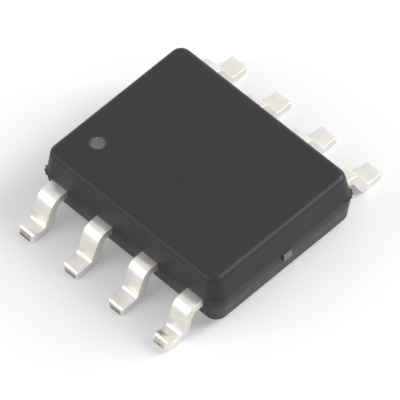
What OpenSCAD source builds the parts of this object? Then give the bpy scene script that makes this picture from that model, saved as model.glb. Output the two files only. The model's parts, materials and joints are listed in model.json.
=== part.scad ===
// Eight-lead small-outline chip package with a 3.9 mm wide body (SO-8).
// X runs along the two rows of leads, Y across them and Z up.
// The origin is the middle of the package on the plane that the feet stand on.

/* [Moulded body] */
// Length of the body along the rows of leads
body_length = 4.9; // [4.7:0.05:5.2]
// Width of the body between the rows of leads
body_width = 3.9; // [3.8:0.05:4.1]
// Height of the body from its underside to its top face
body_height = 1.3; // [1.25:0.01:1.45]
// Gap under the body when the feet stand on a board
standoff = 0.15; // [0.1:0.01:0.25]
// Height of the lead frame's middle above the body's underside
frame_level = 0.55; // [0.52:0.01:0.62]
// Draft of the side walls above and below the parting band, in degrees
draft_angle = 9; // [5:1:10]
// Radius of the four upright corners in plan
corner_radius = 0.32; // [0.3:0.01:0.4]
// Radius of the edge round the top face
top_edge_radius = 0.14; // [0.06:0.01:0.16]
// Radius of the edge round the underside
bottom_edge_radius = 0.05; // [0.03:0.01:0.1]
// How far the parting band stands out from the side walls
band_relief = 0.01; // [0.01:0.005:0.03]
// How far the parting band reaches above the lead frame
band_rise = 0.08; // [0.02:0.01:0.1]

/* [Pin 1 mark] */
// Diameter of the round mark beside lead 1
mark_diameter = 0.34; // [0.2:0.02:0.6]
// Depth of the round mark
mark_depth = 0.02; // [0.01:0.005:0.05]
// Distance of the mark's centre from the end of the body
mark_from_end = 0.7; // [0.5:0.05:1]
// Distance of the mark's centre from the side of the body
mark_from_side = 0.93; // [0.5:0.05:1.2]

/* [Ejector mark] */
// Diameter of the shallow ejector mark in the underside
ejector_diameter = 1; // [0.6:0.05:1.4]
// Depth of the ejector mark
ejector_depth = 0.03; // [0.01:0.005:0.05]

/* [Lead frame] */
// Distance between neighbouring leads of a row
pin_pitch = 1.27; // [1.2:0.01:1.35]
// Distance across the package from tip to tip of the feet
lead_span = 6; // [5.9:0.05:6.4]
// Thickness of the lead frame's sheet
sheet_thickness = 0.2; // [0.15:0.01:0.25]
// Width of a lead's shoulder, where the dam bars were cut off
shoulder_width = 0.44; // [0.42:0.01:0.5]
// How far the wide shoulder stands out from the side of the body
shoulder_reach = 0.35; // [0.28:0.01:0.4]
// Length over which the shoulder narrows to the leg
shoulder_taper = 0.08; // [0.04:0.01:0.12]
// Width of a lead's leg and foot
lead_width = 0.42; // [0.35:0.01:0.42]
// Slope of a lead's leg from the horizontal, in degrees
leg_angle = 65; // [60:1:75]
// Length of the flat sole of a foot
sole_length = 0.36; // [0.34:0.01:0.5]
// Inside radius of the bend at the shoulder
shoulder_radius = 0.1; // [0.04:0.01:0.12]
// Inside radius of the bend at the heel
heel_radius = 0.1; // [0.06:0.01:0.12]
// Radius of the two corners of a foot's tip
tip_radius = 0.06; // [0.03:0.01:0.1]

/* [Lead ends inside the body] */
// How far a lead reaches into the body
lead_reach = 0.64; // [0.6:0.01:0.7]
// Depth of the bonding pad on a lead's inner end
pad_depth = 0.32; // [0.26:0.01:0.36]
// Gap between the bonding pads of neighbouring leads
pad_gap = 0.37; // [0.3:0.01:0.5]
// Width of the neck that locks a lead into the body
neck_width = 0.3; // [0.22:0.01:0.34]
// Length of that neck
neck_length = 0.16; // [0.12:0.01:0.2]

/* [Die paddle] */
// Length of the paddle along the rows of leads
paddle_length = 3; // [2.6:0.05:3.4]
// Gap between the paddle and the inner ends of the leads
paddle_gap = 0.2; // [0.15:0.01:0.26]
// How far the paddle is pressed down below the leads
paddle_downset = 0.15; // [0.1:0.01:0.2]
// Length over which a tie bar steps up from the paddle
downset_run = 0.25; // [0.2:0.01:0.4]
// Width of the tie bars at the two ends of the paddle
tie_bar_width = 0.22; // [0.16:0.01:0.3]
// How far a tie bar's cut end stands out of the body
tie_bar_stub = 0.04; // [0.03:0.005:0.06]

/* [Die and bond wires] */
// Length of the die along the rows of leads
die_length = 1.6; // [1.2:0.05:2.2]
// Width of the die
die_width = 1.2; // [1:0.05:1.6]
// Thickness of the die
die_thickness = 0.25; // [0.2:0.01:0.28]
// Thickness of the adhesive under the die
glue_thickness = 0.03; // [0.02:0.005:0.05]
// How far the adhesive spreads past the die's edge
glue_margin = 0.05; // [0.02:0.01:0.1]
// Distance of the ball bonds from the die's edges
ball_inset = 0.1; // [0.08:0.01:0.15]
// Diameter of a bond wire
wire_diameter = 0.032; // [0.025:0.001:0.05]
// Height of a wire's knee above the die
wire_rise = 0.12; // [0.1:0.01:0.15]
// Diameter of that knee, in diameters of the wire
knee_ratio = 1.2; // [1.1:0.05:1.4]
// Diameter of a ball bond
ball_diameter = 0.085; // [0.075:0.005:0.12]
// Height of a ball bond
ball_height = 0.022; // [0.015:0.001:0.03]
// Diameter of the stitch bond on a lead
stitch_diameter = 0.09; // [0.08:0.005:0.12]
// Thickness of the stitch bond
stitch_height = 0.012; // [0.01:0.001:0.02]

/* [Hidden] */
$fn = 48;

lead_count = 8;
row_count = lead_count / 2;

// Levels above the seating plane
body_top = standoff + body_height;
lead_middle = standoff + frame_level;
lead_top = lead_middle + sheet_thickness / 2;
lead_bottom = lead_middle - sheet_thickness / 2;
band_top = lead_top + band_rise;
paddle_top = lead_top - paddle_downset;
paddle_bottom = paddle_top - sheet_thickness;
glue_top = paddle_top + glue_thickness;
die_top = glue_top + die_thickness;

// Stations of a lead, measured outwards from the middle of the package
lead_inner_end = body_width / 2 - lead_reach;
pad_end = lead_inner_end + pad_depth;
neck_end = pad_end + neck_length;
tip_station = lead_span / 2;
sole_start = tip_station - sole_length;
bend_sum = shoulder_radius + heel_radius + sheet_thickness;
leg_length = (lead_bottom - bend_sum * (1 - cos(leg_angle))) / sin(leg_angle);
shoulder_end = sole_start - bend_sum * sin(leg_angle) - leg_length * cos(leg_angle);
shoulder_stop = body_width / 2 + shoulder_reach;

pad_width = pin_pitch - pad_gap;
paddle_width = 2 * (lead_inner_end - paddle_gap);
tie_bar_end = body_length / 2 + band_relief + tie_bar_stub;

// A length that reaches past everything, for cutting shapes
beyond = 2 * lead_span;
// Sides of a round wire
wire_sides = 16;

function row_side(n) = n <= row_count ? -1 : 1;
function row_place(n) = n <= row_count ? n : lead_count + 1 - n;
function lead_x(n) = (row_place(n) - (row_count + 1) / 2) * pin_pitch;
function is_corner(n) = row_place(n) == 1 || row_place(n) == row_count;

// Section of the outer strip of a drafted wall with a rounded rim, from the line that the
// corners are centred on: x runs outwards and y away from the parting band
module wall_section(height, rim) {
    rim_level = height - rim;
    rim_place = corner_radius - (rim + rim_level * sin(draft_angle)) / cos(draft_angle);
    intersection() {
        translate([rim_place, rim_level]) {
            translate([-beyond, -beyond]) square([beyond, beyond + rim]);
            rotate(draft_angle) translate([-beyond, -beyond]) square([beyond + rim, beyond]);
            intersection() {
                circle(rim);
                square(2 * rim);
                rotate(draft_angle) square(2 * rim);
            }
        }
        square(beyond);
    }
}

// One drafted half of the moulding, standing on the parting band
module moulded_half(height, rim) {
    straight_x = body_length - 2 * corner_radius;
    straight_y = body_width - 2 * corner_radius;
    translate([-straight_x / 2, -straight_y / 2, 0]) cube([straight_x, straight_y, height]);
    for (side = [0, 1]) {
        mirror([0, side, 0]) translate([0, straight_y / 2, 0]) rotate([90, 0, 90])
            linear_extrude(straight_x, center = true) wall_section(height, rim);
        mirror([side, 0, 0]) translate([straight_x / 2, 0, 0]) rotate([90, 0, 0])
            linear_extrude(straight_y, center = true) wall_section(height, rim);
    }
    for (turn_x = [0, 1], turn_y = [0, 1])
        mirror([turn_x, 0, 0]) mirror([0, turn_y, 0])
            translate([straight_x / 2, straight_y / 2, 0]) rotate_extrude(angle = 90)
                wall_section(height, rim);
}

// Rectangle with round corners, centred on the origin
module rounded_plate(length, width, radius, thickness) {
    linear_extrude(thickness) {
        square([length - 2 * radius, width], center = true);
        square([length, width - 2 * radius], center = true);
        for (x = [-1, 1], y = [-1, 1])
            translate([x * (length / 2 - radius), y * (width / 2 - radius)]) circle(radius);
    }
}

// The outside of the moulding, before the pieces inside it are taken out
module body_shape() {
    difference() {
        union() {
            translate([0, 0, band_top]) moulded_half(body_top - band_top, top_edge_radius);
            translate([0, 0, lead_bottom]) mirror([0, 0, 1])
                moulded_half(lead_bottom - standoff, bottom_edge_radius);
            translate([0, 0, lead_bottom])
                rounded_plate(body_length + 2 * band_relief, body_width + 2 * band_relief,
                    corner_radius + band_relief, band_top - lead_bottom);
        }
        translate([mark_from_end - body_length / 2, mark_from_side - body_width / 2,
            body_top - mark_depth]) cylinder(h = beyond, d = mark_diameter);
        translate([0, 0, standoff + ejector_depth - beyond])
            cylinder(h = beyond, d = ejector_diameter);
    }
}

// Stretch of sheet bent clockwise round the origin, from the Y axis through the angle turn
module bent_sheet(inner, turn) {
    outer = inner + sheet_thickness;
    intersection() {
        difference() {
            circle(outer);
            circle(inner);
        }
        square(2 * outer);
        rotate(-turn) translate([-2 * outer, 0]) square(2 * outer);
    }
}

// Side view of a bent lead, x outwards and y up, too long at both ends: the plan trims it
module lead_side() {
    translate([shoulder_end, lead_bottom - shoulder_radius]) {
        translate([-shoulder_end, shoulder_radius]) square([shoulder_end, sheet_thickness]);
        bent_sheet(shoulder_radius, leg_angle);
        rotate(-leg_angle) {
            translate([0, shoulder_radius]) square([leg_length, sheet_thickness]);
            translate([leg_length, shoulder_radius + sheet_thickness + heel_radius]) {
                mirror([0, 1]) bent_sheet(heel_radius, leg_angle);
                rotate(leg_angle) translate([0, -heel_radius - sheet_thickness])
                    square([tip_station, sheet_thickness]);
            }
        }
    }
}

// One edge of a lead in plan, from its inner end to the start of its rounded tip
function lead_edge(side, pad_half) = [
    [side * pad_half, lead_inner_end],
    [side * pad_half, pad_end],
    [side * neck_width / 2, pad_end],
    [side * neck_width / 2, neck_end],
    [side * shoulder_width / 2, neck_end],
    [side * shoulder_width / 2, shoulder_stop],
    [side * lead_width / 2, shoulder_stop + shoulder_taper],
    [side * lead_width / 2, tip_station - tip_radius],
    [side * (lead_width / 2 - tip_radius), tip_station],
];
function reversed(list) = [for (i = [len(list) - 1 : -1 : 0]) list[i]];

// Plan view of a lead; a corner lead's pad reaches to one side only
module lead_plan(corner) {
    pad_outer = corner ? lead_width / 2 : pad_width / 2;
    polygon(concat(lead_edge(1, pad_outer), reversed(lead_edge(-1, pad_width / 2))));
    for (x = [-1, 1])
        translate([x * (lead_width / 2 - tip_radius), tip_station - tip_radius])
            circle(tip_radius);
}

// A lead in its place, in the colour of matte tin
module lead(n) {
    color("#d6d4ce")
        translate([lead_x(n), 0, 0])
            mirror([lead_x(n) < 0 ? 1 : 0, 0, 0]) mirror([0, row_side(n) < 0 ? 1 : 0, 0])
                intersection() {
                    rotate([90, 0, 90]) linear_extrude(beyond, center = true) lead_side();
                    linear_extrude(body_top) lead_plan(is_corner(n));
                }
}

// Side view of the paddle's upper or lower face, from one end of the tie bars to the other
function paddle_edge(bar_level, plate_level, way) = let (
    step_start = paddle_length / 2,
    step_end = step_start + downset_run
) [
    [-way * tie_bar_end, bar_level],
    [-way * step_end, bar_level],
    [-way * step_start, plate_level],
    [way * step_start, plate_level],
    [way * step_end, bar_level],
    [way * tie_bar_end, bar_level],
];

// Plate under the die with a tie bar to each end of the body
module die_paddle() {
    color("#c8a778")
        intersection() {
            rotate([90, 0, 0]) linear_extrude(body_width, center = true)
                polygon(concat(
                    paddle_edge(lead_bottom, paddle_bottom, 1),
                    paddle_edge(lead_top, paddle_top, -1)
                ));
            linear_extrude(body_top) {
                square([paddle_length, paddle_width], center = true);
                square([2 * tie_bar_end, tie_bar_width], center = true);
            }
        }
}

// Adhesive between the paddle and the die
module die_attach() {
    color("#b9bcc0") translate([0, 0, paddle_top]) linear_extrude(glue_thickness)
        square([die_length + 2 * glue_margin, die_width + 2 * glue_margin], center = true);
}

// The silicon die
module die() {
    color("#5f6670") translate([0, 0, glue_top]) linear_extrude(die_thickness)
        square([die_length, die_width], center = true);
}

// Where wire n starts on the die and ends on its lead
function ball_place(n) = [
    sign(lead_x(n)) * (die_length / 2 - ball_inset) / (is_corner(n) ? 1 : 3),
    row_side(n) * (die_width / 2 - ball_inset),
];
function stitch_place(n) = [
    lead_x(n) - (is_corner(n) ? sign(lead_x(n)) * (pad_width - lead_width) / 4 : 0),
    row_side(n) * (lead_inner_end + pad_depth / 2),
];

// Gold wire up from a ball bond on the die, over a knee and down to a stitch bond on the lead
module bond_wire(n) {
    $fn = wire_sides;
    way = stitch_place(n) - ball_place(n);
    run = norm(way);
    drop = die_top - lead_top;
    fall = drop + wire_rise;
    color("#e2b33c")
        translate([ball_place(n).x, ball_place(n).y, die_top])
            rotate([0, 0, atan2(way.y, way.x)])
                difference() {
                    union() {
                        cylinder(h = ball_height, d = ball_diameter);
                        cylinder(h = wire_rise, d = wire_diameter);
                        translate([0, 0, wire_rise]) {
                            sphere(d = knee_ratio * wire_diameter);
                            rotate([0, 90 + atan2(fall, run), 0])
                                cylinder(h = norm([run, fall]) + wire_diameter, d = wire_diameter);
                        }
                        translate([run, 0, -drop - stitch_diameter])
                            cylinder(h = stitch_diameter + stitch_height, d = stitch_diameter);
                    }
                    // The lead's upper face is where the wire and its stitch end
                    translate([run / 2, -run, -drop - run]) cube([2 * run, 2 * run, run]);
                }
}

// Black epoxy moulded round everything else
module encapsulant() {
    color("#3c3c3e")
        difference() {
            body_shape();
            for (n = [1 : lead_count]) lead(n);
            die_paddle();
            die_attach();
            die();
            for (n = [1 : lead_count]) bond_wire(n);
        }
}

encapsulant();
for (n = [1 : lead_count]) lead(n);
die_paddle();
die_attach();
die();
for (n = [1 : lead_count]) bond_wire(n);
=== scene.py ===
import json
import math

import bmesh
import bpy
from mathutils import Matrix, Vector


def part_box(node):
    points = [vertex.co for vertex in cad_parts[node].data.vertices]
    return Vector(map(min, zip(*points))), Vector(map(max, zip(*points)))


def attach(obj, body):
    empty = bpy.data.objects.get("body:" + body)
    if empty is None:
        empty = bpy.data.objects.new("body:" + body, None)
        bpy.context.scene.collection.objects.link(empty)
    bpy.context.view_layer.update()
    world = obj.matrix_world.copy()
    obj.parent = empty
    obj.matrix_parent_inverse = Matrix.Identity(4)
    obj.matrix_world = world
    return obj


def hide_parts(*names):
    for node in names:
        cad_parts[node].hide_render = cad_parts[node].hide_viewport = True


MM = 0.001

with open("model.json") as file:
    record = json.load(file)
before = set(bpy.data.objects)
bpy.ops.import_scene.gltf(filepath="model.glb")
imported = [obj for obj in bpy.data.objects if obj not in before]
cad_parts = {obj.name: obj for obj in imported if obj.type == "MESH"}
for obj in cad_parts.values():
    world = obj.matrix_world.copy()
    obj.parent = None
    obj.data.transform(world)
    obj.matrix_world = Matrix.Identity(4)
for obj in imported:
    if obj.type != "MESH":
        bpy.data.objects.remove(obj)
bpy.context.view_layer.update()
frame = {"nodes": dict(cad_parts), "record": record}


# ---------------------------------------------------------------- camera

# Where the camera stands, how far off, and how wide it sees at that distance
AZIMUTH = math.radians(48.63)
ELEVATION = math.radians(53.0)
ROLL = math.radians(3.79)
DISTANCE = 181 * MM
FIELD = 7.866 * MM
SENSOR_WIDTH = 36
# What it aims at: a level on the Z axis, then moved right and down in the picture
AIM_LEVEL = 0.8 * MM
AIM_RIGHT = 0.03 * MM
AIM_DOWN = 0.36 * MM


def add_camera():
    """A long lens, looking down on the near right corner with a slight roll."""
    back = Vector((
        math.sin(AZIMUTH) * math.cos(ELEVATION),
        -math.cos(AZIMUTH) * math.cos(ELEVATION),
        math.sin(ELEVATION),
    ))
    level = Vector((math.cos(AZIMUTH), math.sin(AZIMUTH), 0))
    upright = back.cross(level)
    right = level * math.cos(ROLL) - upright * math.sin(ROLL)
    up = level * math.sin(ROLL) + upright * math.cos(ROLL)
    aim = Vector((0, 0, AIM_LEVEL)) + right * AIM_RIGHT - up * AIM_DOWN
    lens = bpy.data.cameras.new("camera")
    lens.sensor_width = SENSOR_WIDTH
    lens.lens = SENSOR_WIDTH * DISTANCE / FIELD
    lens.clip_start = 0.01
    lens.clip_end = 10
    camera = bpy.data.objects.new("camera", lens)
    turn = Matrix((right, up, back)).transposed().to_4x4()
    camera.matrix_world = Matrix.Translation(aim + back * DISTANCE) @ turn
    bpy.context.scene.collection.objects.link(camera)
    bpy.context.scene.camera = camera


# ---------------------------------------------------------------- sizes, in millimetres

def millimetres(node):
    """Lowest and highest corner of a CAD node."""
    low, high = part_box(node)
    return Vector(low) / MM, Vector(high) / MM


BODY_LOW, BODY_HIGH = millimetres("encapsulant")
LEAD_LOW, LEAD_HIGH = millimetres("lead_1")
LEAD_COUNT = 8
ROW_COUNT = LEAD_COUNT // 2

BODY_BOTTOM = BODY_LOW.z
BODY_TOP = BODY_HIGH.z
SHEET = 0.2
LEAD_TOP = LEAD_HIGH.z
LEAD_BOTTOM = LEAD_TOP - SHEET
LEAD_MIDDLE = LEAD_TOP - SHEET / 2
TIP_STATION = -LEAD_LOW.y
INNER_END = -LEAD_HIGH.y
PITCH = 1.27

# The band round the parting line: how far it stands out, how high its worn edges are, and
# how far it rises above the leads
BAND_RELIEF = 0.01
BAND_SOFT = 0.04
BAND_RISE = 0.08
BAND_TOP = LEAD_TOP + BAND_RISE
HALF_LENGTH = BODY_HIGH.x - BAND_RELIEF
HALF_WIDTH = BODY_HIGH.y - BAND_RELIEF
CORNER_RADIUS = 0.32
DRAFT = math.radians(9)
TOP_EDGE = 0.14
BOTTOM_EDGE = 0.05
# Width of the flat strip inside the rounded edges, which keeps the shading of the flats even
FLAT_RIM = 0.06

# How far the flash left on the parting line stands out, point by point round a corner
FLASH = (0.0, 0.01, 0.025, 0.015, 0.05, 0.03, 0.06, 0.035, 0.05, 0.02, 0.025, 0.01, 0.0)
FLASH_SHEET = 0.012

PAD_WIDTH = 0.9
PAD_DEPTH = 0.32
NECK_WIDTH = 0.3
NECK_LENGTH = 0.16
SHOULDER_WIDTH = 0.44
SHOULDER_RUN = 0.35
SHOULDER_STOP = HALF_WIDTH + SHOULDER_RUN
SHOULDER_TAPER = 0.08
LEAD_WIDTH = 0.42
BEND_RADIUS = 0.1
TIP_RADIUS = 0.06
SHEET_EDGE = 0.014
# Rounding of the foot's upper edge, which the cutting tool pulls down
ROLL_OVER = 0.07
# Cross-sections of a lead: either side of the body's wall, and past the shoulder's middle
ROOT_INSIDE = 0.02
ROOT_OUTSIDE = 0.03
SHOULDER_SHIFT = 0.02

# The round recess over pin 1, and the ejector mark in the middle of the underside
MARK_PLACE = Vector((-1.75, -1.02))
MARK_RADIUS = 0.17
MARK_DEPTH = 0.02
EJECTOR_RADIUS = 0.5
EJECTOR_DEPTH = 0.03
# The grey of the pin 1 dot: how far past the recess it goes, and how softly it ends
DOT_SPILL = 0.02
DOT_SOFT = 0.05
# Where the grey of the tie bars' cut ends starts, along X either way, and how softly
TIE_BAR_END = 2.3
TIE_BAR_END_SOFT = 0.04


# ---------------------------------------------------------------- meshes

# Two faces that meet at more than this angle are shaded with a hard edge
SHARP_ANGLE = math.radians(35)
# Points nearer than this are one point, in millimetres
SAME_POINT = 0.00001
# Steps round a corner and along a side of the body, and round an edge of a lead's sheet
CORNER_STEPS = len(FLASH) - 1
SIDE_STEPS = 24
EDGE_STEPS = 4
# Sides of a round cutter, and how far it goes past the part, in millimetres
CUTTER_SIDES = 64
CUTTER_SPARE = 1


def new_piece(name, mesh, material):
    """An object of the part: it rides on the root and takes its finish from a slot."""
    mesh.materials.append(material)
    for face in mesh.polygons:
        face.use_smooth = True
    mesh.set_sharp_from_angle(angle=SHARP_ANGLE)
    piece = bpy.data.objects.new(name, mesh)
    bpy.context.scene.collection.objects.link(piece)
    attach(piece, "root")
    return piece


def loft(name, rings):
    """A closed mesh through rings of points in millimetres, all with the same count."""
    form = bmesh.new()
    rows = [[form.verts.new(Vector(point) * MM) for point in ring] for ring in rings]
    count = len(rows[0])
    for low, high in zip(rows, rows[1:]):
        for i in range(count):
            j = (i + 1) % count
            form.faces.new((low[i], low[j], high[j], high[i]))
    form.faces.new(reversed(rows[0]))
    form.faces.new(rows[-1])
    bmesh.ops.recalc_face_normals(form, faces=form.faces)
    mesh = bpy.data.meshes.new(name)
    form.to_mesh(mesh)
    form.free()
    return mesh


def rounded_outline(half_x, half_y, radius, corner_steps, side_steps):
    """Points round a rectangle with round corners, with the direction out of each."""
    points = []
    for quarter in range(4):
        start = quarter * math.pi / 2
        sign_x = 1 if quarter in (0, 3) else -1
        sign_y = 1 if quarter in (0, 1) else -1
        centre = Vector((sign_x * (half_x - radius), sign_y * (half_y - radius)))
        for i in range(corner_steps + 1):
            turn = start + i * math.pi / 2 / corner_steps
            out = Vector((math.cos(turn), math.sin(turn)))
            points.append((centre + out * radius, out))
        last, out = points[-1]
        run = 2 * ((half_x if quarter in (0, 2) else half_y) - radius)
        along = Vector((-math.sin(start + math.pi / 2), math.cos(start + math.pi / 2)))
        for i in range(1, side_steps):
            points.append((last + along * run * i / side_steps, out))
    return points


# ---------------------------------------------------------------- leads

# Steps along a lead: through a bend, along its leg or sole, and round its tip
BEND_STEPS = 16
LEG_STEPS = 6
TIP_STEPS = 6


def row_side(n):
    """-1 for the row of pins 1 to 4, and 1 for the row of pins 5 to 8."""
    return -1 if n <= ROW_COUNT else 1


def row_place(n):
    """Place of a pin in its row, counted along +X from 1."""
    return n if n <= ROW_COUNT else LEAD_COUNT + 1 - n


def lead_x(n):
    """Where a pin's middle is along its row."""
    return (row_place(n) - (ROW_COUNT + 1) / 2) * PITCH


def lead_line(shape):
    """Stations of a lead's middle line: (out, up, slope), from the inner end to the tip."""
    angle = math.radians(shape["leg"])
    tip = TIP_STATION - shape["short"]
    radius = BEND_RADIUS + SHEET / 2
    fall = LEAD_MIDDLE - SHEET / 2
    leg = (fall - 2 * radius * (1 - math.cos(angle))) / math.sin(angle)
    sole_start = tip - shape["sole"]
    shoulder = sole_start - 2 * radius * math.sin(angle) - leg * math.cos(angle)
    line = [(out, LEAD_MIDDLE, 0) for out in (
        INNER_END, INNER_END + PAD_DEPTH, INNER_END + PAD_DEPTH + NECK_LENGTH,
        HALF_WIDTH - ROOT_INSIDE, HALF_WIDTH + ROOT_OUTSIDE,
        (HALF_WIDTH + shoulder) / 2 + SHOULDER_SHIFT)]
    for i in range(BEND_STEPS + 1):
        turn = angle * i / BEND_STEPS
        line.append((shoulder + radius * math.sin(turn),
                     LEAD_MIDDLE - radius * (1 - math.cos(turn)), turn))
    out, up, turn = line[-1]
    for i in range(1, LEG_STEPS):
        share = leg * i / LEG_STEPS
        line.append((out + share * math.cos(turn), up - share * math.sin(turn), turn))
    for i in range(BEND_STEPS + 1):
        turn = angle * (1 - i / BEND_STEPS)
        line.append((sole_start - radius * math.sin(turn),
                     SHEET / 2 + radius * (1 - math.cos(turn)), turn))
    foot = tip - TIP_RADIUS - sole_start
    for i in range(1, LEG_STEPS + 1):
        line.append((sole_start + foot * i / LEG_STEPS, SHEET / 2, 0))
    for i in range(1, TIP_STEPS + 1):
        turn = math.pi / 2 * i / TIP_STEPS
        line.append((tip - TIP_RADIUS * (1 - math.sin(turn)), SHEET / 2, 0))
    return bent_up(line, sole_start + shape["lift_start"], tip, shape["lift"])


def bent_up(line, start, tip, lift):
    """The line with its end curved up by lift, from start to the tip."""
    bent = []
    for out, up, turn in line:
        if lift and out > start:
            share = (out - start) / (tip - start)
            up += lift * share ** 2
            turn -= math.atan(2 * lift * share / (tip - start))
            out += SHEET / 2 * math.sin(turn) * share
        bent.append((out, up, turn))
    return bent


def smooth_step(value, low, high):
    """0 up to low, 1 from high, and a smooth rise between them."""
    share = min(1, max(0, (value - low) / (high - low)))
    return share * share * (3 - 2 * share)


def rounding(past, radius):
    """How far a rounded edge has fallen away, past the start of its rounding."""
    return radius - math.sqrt(max(0, radius ** 2 - past ** 2)) if past > 0 else 0


def lead_half_width(along, tip):
    """Half the width of a lead outside the body, along its unbent line."""
    wide, narrow = SHOULDER_WIDTH / 2, LEAD_WIDTH / 2
    taper_end = SHOULDER_STOP + SHOULDER_TAPER
    half = wide + (narrow - wide) * smooth_step(along, SHOULDER_STOP, taper_end)
    return half - rounding(along - (tip - TIP_RADIUS), TIP_RADIUS)


def lead_ring(n, station, left, right, above=SHEET / 2):
    """Rounded cross-section of a lead: its reach to each side and above the middle line."""
    out, up, turn = station
    middle, half = (right - left) / 2, (right + left) / 2
    shift, half_sheet = (above - SHEET / 2) / 2, (above + SHEET / 2) / 2
    ring = []
    for point, _ in rounded_outline(half, half_sheet, SHEET_EDGE, EDGE_STEPS, 1):
        ring.append((
            lead_x(n) + point.x + middle,
            row_side(n) * (out + (point.y + shift) * math.sin(turn)),
            up + (point.y + shift) * math.cos(turn),
        ))
    return ring


# The bends of the leads, one by one: slope of the leg in degrees, length of the sole, how far
# the foot stops short of the full span, how far its end is bent up, and how far along the
# sole that starts
LEAD_SHAPES = {
    n: dict(zip(("leg", "sole", "short", "lift", "lift_start"), values))
    for n, values in {
        1: (66, 0.31, 0.03, 0.05, 0.04),
        2: (67, 0.33, 0.05, 0.0, 0.0),
        3: (70, 0.35, 0.05, 0.0, 0.0),
        4: (70, 0.37, 0.0, 0.11, 0.1),
        5: (66, 0.36, 0.01, 0.0, 0.0),
        6: (65, 0.36, 0.0, 0.0, 0.0),
        7: (66, 0.36, 0.01, 0.0, 0.0),
        8: (65, 0.36, 0.0, 0.0, 0.0),
    }.items()
}


def add_lead(n, material, cut):
    """A gull-wing lead with soft edges and an unplated cut end, and its pad inside the body."""
    shape = LEAD_SHAPES[n]
    tip = TIP_STATION - shape["short"]
    unbent = lead_line({**shape, "lift": 0})
    stations = lead_line(shape)
    at_corner = row_place(n) in (1, ROW_COUNT)
    pad_in = PAD_WIDTH / 2
    pad_out = LEAD_WIDTH / 2 if at_corner else pad_in
    pad = (pad_out, pad_in) if lead_x(n) < 0 else (pad_in, pad_out)
    neck = (NECK_WIDTH / 2, NECK_WIDTH / 2)
    wide = (SHOULDER_WIDTH / 2, SHOULDER_WIDTH / 2)
    rings = []
    for i, widths in ((0, pad), (1, pad), (1, neck), (2, neck), (2, wide)):
        rings.append(lead_ring(n, stations[i], *widths))
    for station, (along, _, _) in zip(stations[3:], unbent[3:]):
        half = lead_half_width(along, tip)
        above = SHEET / 2 - rounding(along - (tip - ROLL_OVER), ROLL_OVER)
        rings.append(lead_ring(n, station, half, half, above))
    name = "lead_%d" % n
    piece = new_piece("tinned_" + name, loft(name, rings), material)
    piece.data.materials.append(cut)
    # The last face of a loft closes its last ring, which is the lead's cut end
    end_face = piece.data.polygons[-1]
    end_face.material_index = 1
    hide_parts(name)
    return piece


# ---------------------------------------------------------------- moulding

TOP_EDGE_STEPS = 10
BOTTOM_EDGE_STEPS = 5
# Corners of the outline with flash on them: +X +Y and -X -Y
FLASH_CORNERS = (0, 2)
# A face with a normal this upright is level
LEVEL_NORMAL = 0.99999


def arc(centre_out, centre_up, radius, start, stop, steps):
    """Points of a wall's section on an arc, angles in degrees from straight out."""
    turns = [math.radians(start + (stop - start) * i / steps) for i in range(steps + 1)]
    return [(centre_out + radius * math.cos(t), centre_up + radius * math.sin(t)) for t in turns]


def wall_section():
    """Section of the side wall: (distance out from the parting plane's edge, level)."""
    lean = math.degrees(DRAFT)
    low_edge = BODY_BOTTOM + BOTTOM_EDGE
    low_inset = (LEAD_BOTTOM - low_edge) * math.tan(DRAFT) + BOTTOM_EDGE / math.cos(DRAFT)
    top_edge = BODY_TOP - TOP_EDGE
    top_inset = (top_edge - BAND_TOP) * math.tan(DRAFT) + TOP_EDGE / math.cos(DRAFT)
    section = [(-low_inset - FLAT_RIM, BODY_BOTTOM)]
    section += arc(-low_inset, low_edge, BOTTOM_EDGE, -90, -lean, BOTTOM_EDGE_STEPS)
    worn = BAND_SOFT * math.tan(DRAFT)
    section += [(-worn, LEAD_BOTTOM - BAND_SOFT), (BAND_RELIEF / 2, LEAD_BOTTOM),
                (BAND_RELIEF, LEAD_BOTTOM + BAND_SOFT), (BAND_RELIEF, LEAD_TOP - FLASH_SHEET),
                (BAND_RELIEF, LEAD_TOP), (BAND_RELIEF, LEAD_TOP + FLASH_SHEET),
                (BAND_RELIEF, BAND_TOP - BAND_SOFT / 2),
                (BAND_RELIEF / 2, BAND_TOP), (-worn, BAND_TOP + BAND_SOFT)]
    section += arc(-top_inset, top_edge, TOP_EDGE, lean, 90, TOP_EDGE_STEPS)
    section.append((-top_inset - FLAT_RIM, BODY_TOP))
    return section


def plug(place, radius, low, high):
    """A round cutter between two levels."""
    turns = [2 * math.pi * i / CUTTER_SIDES for i in range(CUTTER_SIDES)]
    return loft("cutter", [
        [(place.x + radius * math.cos(t), place.y + radius * math.sin(t), level) for t in turns]
        for level in (low, high)])


def joined(piece):
    """A copy of a piece's mesh for cutting, with its faces joined along their edges."""
    form = bmesh.new()
    form.from_mesh(piece.data)
    bmesh.ops.remove_doubles(form, verts=form.verts, dist=SAME_POINT * MM)
    mesh = bpy.data.meshes.new("cutter")
    form.to_mesh(mesh)
    form.free()
    return mesh


def combine(first, second, operation):
    """The exact union or difference of two closed meshes.

    Without use_self the differences left open edges. The unions are closed without it, and
    much slower with it.
    """
    objects = [bpy.data.objects.new("operand", mesh) for mesh in (first, second)]
    for obj in objects:
        bpy.context.scene.collection.objects.link(obj)
    change = objects[0].modifiers.new("combine", "BOOLEAN")
    change.operation = operation
    change.solver = "EXACT"
    change.use_self = operation == "DIFFERENCE"
    change.object = objects[1]
    result = bpy.data.meshes.new_from_object(
        objects[0].evaluated_get(bpy.context.evaluated_depsgraph_get()))
    for obj in objects:
        bpy.data.objects.remove(obj)
    return result


def ragged(outline):
    """The outline with broken-off moulding flash standing out at two opposite corners."""
    quarter = len(outline) // 4
    result = []
    for i, (point, out) in enumerate(outline):
        corner, step = divmod(i, quarter)
        proud = FLASH[step] if corner in FLASH_CORNERS and step < len(FLASH) else 0
        result.append((point + out * proud, out))
    return result


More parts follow.
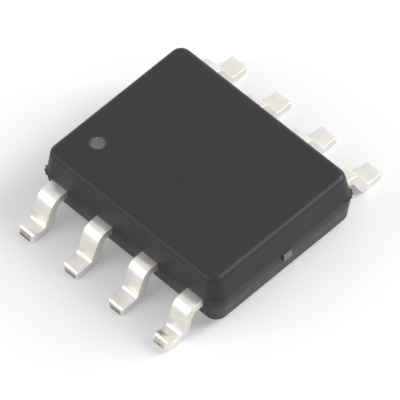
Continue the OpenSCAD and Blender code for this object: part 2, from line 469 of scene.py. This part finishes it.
def moulding_block():
    """The moulded body as one block, with nothing taken out of it."""
    rings = []
    for out, level in wall_section():
        outline = rounded_outline(HALF_LENGTH + out, HALF_WIDTH + out, CORNER_RADIUS + out,
                                  CORNER_STEPS, SIDE_STEPS)
        if level == LEAD_TOP:
            outline = ragged(outline)
        rings.append([(point.x, point.y, level) for point, _ in outline])
    return loft("moulding", rings)


def add_moulding(material, inside):
    """The moulded body, with the room that the pieces inside it take up."""
    dot = plug(MARK_PLACE, MARK_RADIUS, BODY_TOP - MARK_DEPTH, BODY_TOP + CUTTER_SPARE)
    ejector = plug(Vector((0, 0)), EJECTOR_RADIUS, -CUTTER_SPARE, BODY_BOTTOM + EJECTOR_DEPTH)
    # The inner pieces touch, so they are made one before they are taken out of the block
    held = joined(inside[0])
    for piece in inside[1:]:
        held = combine(held, joined(piece), "UNION")
    mesh = moulding_block()
    for cutter in (dot, ejector, held):
        mesh = combine(mesh, cutter, "DIFFERENCE")
    moulding = new_piece("moulding", mesh, material)
    for face in mesh.polygons:
        if abs(face.normal.z) > LEVEL_NORMAL and len(face.vertices) > 4:
            face.use_smooth = False
    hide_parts("encapsulant")


# ---------------------------------------------------------------- materials

class Shader:
    """A principled material and short ways to add nodes to it."""

    def __init__(self, name, **values):
        """Values are those of the surface's own sockets, with _ for a space in a name."""
        self.material = bpy.data.materials.new(name)
        self.material.use_nodes = True
        self.tree = self.material.node_tree
        self.surface = self.tree.nodes["Principled BSDF"]
        for socket, value in values.items():
            self.surface.inputs[socket.replace("_", " ")].default_value = value
        self.place = self.tree.nodes.new("ShaderNodeTexCoord").outputs["Object"]

    def link(self, source, target):
        """Joins an output to an input."""
        self.tree.links.new(source, target)

    def noise(self, size, detail=3, stretch=(1, 1, 1)):
        """Noise whose features are about size millimetres wide."""
        scaled = self.tree.nodes.new("ShaderNodeMapping")
        scaled.inputs["Scale"].default_value = [1 / (s * size * MM) for s in stretch]
        self.link(self.place, scaled.inputs["Vector"])
        node = self.tree.nodes.new("ShaderNodeTexNoise")
        node.inputs["Scale"].default_value = 1
        node.inputs["Detail"].default_value = detail
        self.link(scaled.outputs["Vector"], node.inputs["Vector"])
        return node.outputs["Fac"]

    def spread(self, source, low, high, from_low=0.35, from_high=0.65):
        """A value taken from one range to another."""
        node = self.tree.nodes.new("ShaderNodeMapRange")
        node.inputs["From Min"].default_value = from_low
        node.inputs["From Max"].default_value = from_high
        node.inputs["To Min"].default_value = low
        node.inputs["To Max"].default_value = high
        self.link(source, node.inputs["Value"])
        return node.outputs["Result"]

    def math(self, operation, first, second=0):
        """A maths operation on numbers or sockets. Some use only the first."""
        node = self.tree.nodes.new("ShaderNodeMath")
        node.operation = operation
        for socket, value in zip(node.inputs, (first, second)):
            if isinstance(value, (int, float)):
                socket.default_value = value
            else:
                self.link(value, socket)
        return node.outputs["Value"]

    def mix(self, share, first, second):
        """A colour between two colours, which are tuples or sockets."""
        node = self.tree.nodes.new("ShaderNodeMix")
        node.data_type = "RGBA"
        self.link(share, node.inputs["Factor"])
        sockets = [s for s in node.inputs if s.type == "RGBA"]
        for socket, value in zip(sockets, (first, second)):
            if isinstance(value, tuple):
                socket.default_value = (*value, 1)
            else:
                self.link(value, socket)
        return [s for s in node.outputs if s.type == "RGBA"][0]

    def bump(self, height, depth, strength=1):
        """Bump of a height map, depth in millimetres."""
        node = self.tree.nodes.new("ShaderNodeBump")
        node.inputs["Strength"].default_value = strength
        node.inputs["Distance"].default_value = depth * MM
        self.link(height, node.inputs["Height"])
        self.link(node.outputs["Normal"], self.surface.inputs["Normal"])

    def axes(self):
        """The place along X, Y and Z, in metres."""
        node = self.tree.nodes.new("ShaderNodeSeparateXYZ")
        self.link(self.place, node.inputs["Vector"])
        return [node.outputs[name] for name in "XYZ"]

    def near(self, centre, radius, soft):
        """1 round an upright axis, falling to 0 over the last soft millimetres of a radius."""
        x, y, _ = self.axes()
        across = self.math("SUBTRACT", x, centre.x * MM)
        along = self.math("SUBTRACT", y, centre.y * MM)
        far = self.math("SQRT", self.math(
            "ADD", self.math("MULTIPLY", across, across), self.math("MULTIPLY", along, along)))
        return self.spread(far, 1, 0, (radius - soft) * MM, radius * MM)

    def give(self, source, socket):
        """Joins an output to a socket of the surface."""
        self.link(source, self.surface.inputs[socket])


def epoxy_material():
    """Matt black moulding compound: filler grain, faint clouds and the pin 1 dot's grey."""
    s = Shader("mould_epoxy", IOR=1.41)
    cloud = s.spread(s.noise(1.2, 4), 0, 1, 0.3, 0.7)
    grain = s.spread(s.noise(0.03, 3), 0, 1)
    tone = s.mix(cloud, (0.013, 0.013, 0.014), (0.018, 0.0175, 0.0175))
    tone = s.mix(s.math("MULTIPLY", grain, 0.35), tone, (0.030, 0.030, 0.031))
    near_dot = s.near(MARK_PLACE, MARK_RADIUS + DOT_SPILL, DOT_SOFT)
    near_top = s.spread(s.axes()[2], 0, 1,
                        (BODY_TOP - 2 * MARK_DEPTH) * MM, (BODY_TOP - 1.2 * MARK_DEPTH) * MM)
    burnt = s.spread(s.noise(0.05, 2), 0.6, 1)
    dot = s.math("MULTIPLY", s.math("MULTIPLY", near_dot, near_top), burnt)
    s.give(s.mix(dot, tone, (0.15, 0.147, 0.135)), "Base Color")
    s.give(s.spread(s.noise(0.4, 5), 0.40, 0.46), "Roughness")
    s.bump(s.noise(0.025, 4), 0.0015, 0.6)
    return s.material


def tin_material():
    """Matt tin plating: warm white metal, slightly uneven, with faint smudges."""
    s = Shader("tinned_lead", Metallic=0.75, IOR=1.5)
    smudge = s.spread(s.noise(0.3, 2), 0, 1, 0.35, 0.7)
    s.give(s.mix(smudge, (0.84, 0.81, 0.755), (0.74, 0.705, 0.65)), "Base Color")
    s.give(s.spread(s.noise(0.15, 2), 0.26, 0.38), "Roughness")
    s.bump(s.noise(0.15, 1), 0.002, 0.5)
    return s.material


def cut_material(name, level):
    """Sheared end of a lead, with its low edge at level: smeared tin over a dark strip along
    that edge, which is partly unplated copper and partly a painted shadow line under the foot's
    end.
    """
    s = Shader(name, Metallic=0.7)
    wander = s.math("MULTIPLY", s.noise(0.05, 3), 0.06 * MM)
    height = s.math("SUBTRACT", s.axes()[2], wander)
    # Painted shade: the dark strip along the cut end's low edge is partly unplated copper and
    # partly a painted shadow line
    copper_and_shadow_line = s.spread(height, 1, 0, (level - 0.005) * MM, (level + 0.02) * MM)
    torn = s.spread(s.noise(0.06, 1, (1, 1, 4)), 0, 1)
    smear = s.mix(torn, (0.50, 0.47, 0.41), (0.43, 0.40, 0.35))
    s.give(s.mix(copper_and_shadow_line, smear, (0.10, 0.07, 0.045)), "Base Color")
    s.give(s.spread(torn, 0.4, 0.6), "Roughness")
    s.bump(torn, 0.002, 0.4)
    return s.material


def paddle_material():
    """Rolled copper, with the cut ends of its tie bars dull and grey."""
    s = Shader("paddle_copper", Metallic=0.8)
    streak = s.noise(0.02, 4, (12, 1, 1))
    copper = s.mix(s.spread(streak, 0, 1), (0.85, 0.52, 0.34), (0.72, 0.42, 0.27))
    end = s.spread(s.math("ABSOLUTE", s.axes()[0]), 0, 1,
                   TIE_BAR_END * MM, (TIE_BAR_END + TIE_BAR_END_SOFT) * MM)
    s.give(s.mix(end, copper, (0.21, 0.205, 0.19)), "Base Color")
    s.give(s.spread(streak, 0.3, 0.42), "Roughness")
    s.bump(streak, 0.0006, 0.5)
    return s.material


def gold_material():
    """Gold wire, finely mottled."""
    s = Shader("bond_gold", Metallic=1.0)
    mottle = s.noise(0.02, 4)
    s.give(s.mix(s.spread(mottle, 0, 1), (0.95, 0.68, 0.25), (0.88, 0.6, 0.2)), "Base Color")
    s.give(s.spread(mottle, 0.16, 0.3), "Roughness")
    s.bump(mottle, 0.0006, 0.5)
    return s.material


def glue_material():
    """Cured adhesive full of silver flakes."""
    s = Shader("silver_epoxy", Metallic=0.6)
    flakes = s.noise(0.015, 2)
    s.give(s.mix(s.spread(flakes, 0, 1), (0.42, 0.43, 0.44), (0.72, 0.73, 0.74)), "Base Color")
    s.give(s.spread(flakes, 0.35, 0.6), "Roughness")
    s.bump(flakes, 0.002, 0.6)
    return s.material


def silicon_material():
    """Polished silicon with faint saw marks, which run level round its sides."""
    s = Shader("silicon", Metallic=0.7)
    marks = s.noise(0.01, 2, (6, 6, 1))
    s.give(s.mix(s.spread(marks, 0, 1), (0.10, 0.11, 0.14), (0.17, 0.18, 0.22)), "Base Color")
    s.give(s.spread(marks, 0.12, 0.25), "Roughness")
    s.bump(marks, 0.0004, 0.3)
    return s.material


MATERIALS = {
    "mould_epoxy": epoxy_material(),
    "tinned_lead": tin_material(),
    "paddle_copper": paddle_material(),
    "silver_epoxy": glue_material(),
    "silicon": silicon_material(),
    "bond_gold": gold_material(),
}


def finish_nodes():
    """Gives each CAD node the material of its slot."""
    for row in frame["record"]["subparts"]:
        for place in frame["nodes"][row["node"]].material_slots:
            place.material = MATERIALS[row["material_slot"]]


# ---------------------------------------------------------------- stage

FLOOR_HALF = 400 * MM
FLOOR_TONE = 0.96
# Share of the floor's white that is its own where it is looked at, so its shadow stays light
FLOOR_GLOW = 0.2
# Light of the sky on the part; where it is looked at it is 1, which is white
SKY_LIGHT = 0.5


def looked_at(tree):
    """1 for camera, glossy and transmission rays, and 0 for the others."""
    path = tree.nodes.new("ShaderNodeLightPath")
    seen = path.outputs["Is Camera Ray"]
    for name in ("Is Glossy Ray", "Is Transmission Ray"):
        either = tree.nodes.new("ShaderNodeMath")
        either.operation = "MAXIMUM"
        tree.links.new(seen, either.inputs[0])
        tree.links.new(path.outputs[name], either.inputs[1])
        seen = either.outputs["Value"]
    return seen


def ranged(tree, source, low, high):
    """A value from 0 to 1 taken to the range from low to high."""
    level = tree.nodes.new("ShaderNodeMapRange")
    level.inputs["To Min"].default_value = low
    level.inputs["To Max"].default_value = high
    tree.links.new(source, level.inputs["Value"])
    return level.outputs["Result"]


def floor_material():
    """Plain near-white paper."""
    s = Shader("floor", Base_Color=(FLOOR_TONE, FLOOR_TONE, FLOOR_TONE, 1), Roughness=0.9,
               Specular_IOR_Level=0.0)
    glow = s.tree.nodes.new("ShaderNodeEmission")
    blend = s.tree.nodes.new("ShaderNodeMixShader")
    s.link(ranged(s.tree, looked_at(s.tree), 0, FLOOR_GLOW), blend.inputs["Fac"])
    s.link(s.surface.outputs["BSDF"], blend.inputs[1])
    s.link(glow.outputs["Emission"], blend.inputs[2])
    s.link(blend.outputs["Shader"], s.tree.nodes["Material Output"].inputs["Surface"])
    return s.material


def add_floor():
    """The floor that the part stands on."""
    mesh = bpy.data.meshes.new("floor")
    corners = [(x * FLOOR_HALF, y * FLOOR_HALF, 0)
               for x, y in ((-1, -1), (1, -1), (1, 1), (-1, 1))]
    mesh.from_pydata(corners, [], [(0, 1, 2, 3)])
    mesh.materials.append(floor_material())
    floor = bpy.data.objects.new("floor", mesh)
    bpy.context.scene.collection.objects.link(floor)


def add_lamp(name, azimuth, elevation, distance, size, level):
    """A square soft box that faces the part.

    The azimuth is in degrees from -Y towards +X, and the elevation in degrees up from the
    floor. Lengths are in millimetres, and a level of 1 looks white.
    """
    light = bpy.data.lights.new(name, "AREA")
    light.size = size * MM
    light.energy = level * math.pi * (size * MM) ** 2
    lamp = bpy.data.objects.new(name, light)
    a, e = math.radians(azimuth), math.radians(elevation)
    away = Vector((math.sin(a) * math.cos(e), -math.cos(a) * math.cos(e), math.sin(e)))
    lamp.matrix_world = (Matrix.Translation(away * distance * MM)
                         @ away.to_track_quat("Z", "Y").to_matrix().to_4x4())
    bpy.context.scene.collection.objects.link(lamp)


def add_world():
    """White where the camera or a gloss sees it, and a softer light on the part."""
    world = bpy.data.worlds.new("world")
    bpy.context.scene.world = world
    world.use_nodes = True
    tree = world.node_tree
    sky = tree.nodes["Background"]
    sky.inputs["Color"].default_value = (1, 1, 1, 1)
    tree.links.new(ranged(tree, looked_at(tree), SKY_LIGHT, 1), sky.inputs["Strength"])


add_camera()
finish_nodes()
cut_ends = {n: cut_material("cut_end_%d" % n, LEAD_SHAPES[n]["lift"])
            for n in range(1, LEAD_COUNT + 1)}
leads = [add_lead(n, MATERIALS["tinned_lead"], cut_ends[n]) for n in cut_ends]
inner = [obj for name, obj in frame["nodes"].items()
         if name != "encapsulant" and not name.startswith("lead_")]
add_moulding(MATERIALS["mould_epoxy"], leads + inner)
add_floor()
add_world()
add_lamp("key", azimuth=147, elevation=34, distance=200, size=110, level=9.0)
add_lamp("fill", azimuth=-30, elevation=32, distance=120, size=95, level=1.5)

bpy.context.scene.view_settings.view_transform = "Standard"
